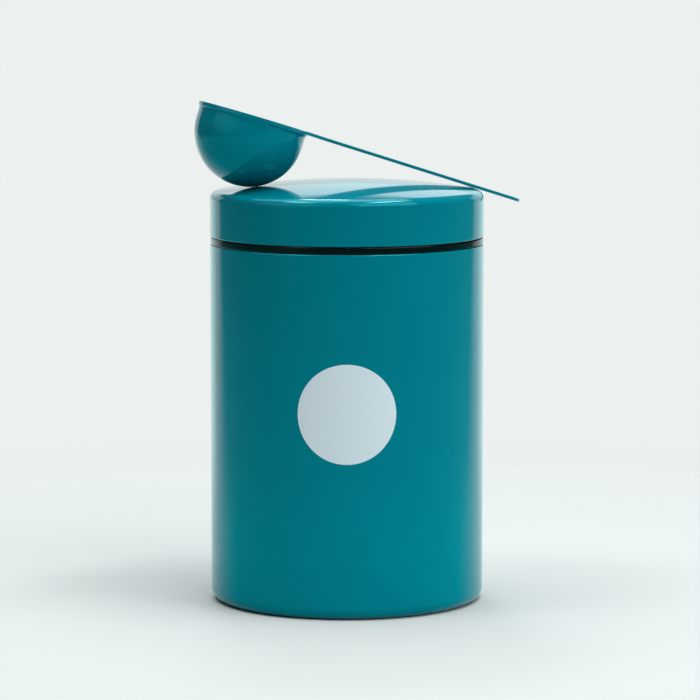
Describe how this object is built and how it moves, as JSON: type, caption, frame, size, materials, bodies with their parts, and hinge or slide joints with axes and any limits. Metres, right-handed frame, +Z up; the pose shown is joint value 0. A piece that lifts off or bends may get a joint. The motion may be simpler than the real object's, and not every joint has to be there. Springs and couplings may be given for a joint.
{
  "type": "canister with scoop",
  "caption": "Round painted steel storage canister with a low-domed push-in lid, a black band at the joint, and a long-handled measuring scoop resting on the lid.",
  "frame": {"origin": "centre of the foot ring, on the plane that the canister stands on", "axes": "+Z up along the canister's axis, +X towards the end of the scoop's handle, front towards -Y"},
  "size_m": [0.1333, 0.112, 0.2055],
  "materials": {
    "paint": "satin teal paint",
    "black_plastic": "glossy black",
    "seal": "matt dark silicone"
  },
  "bodies": {
    "canister": {"canister_body": "paint"},
    "lid": {"lid_cap": "paint", "lid_insert": "black_plastic", "seal_ring": "seal", "scoop": "paint"}
  },
  "joints": [
    {"name": "lid_lift", "type": "slide", "parent": "canister", "child": "lid", "axis": [0, 0, 1], "range_m": [0, 0.12]}
  ]
}
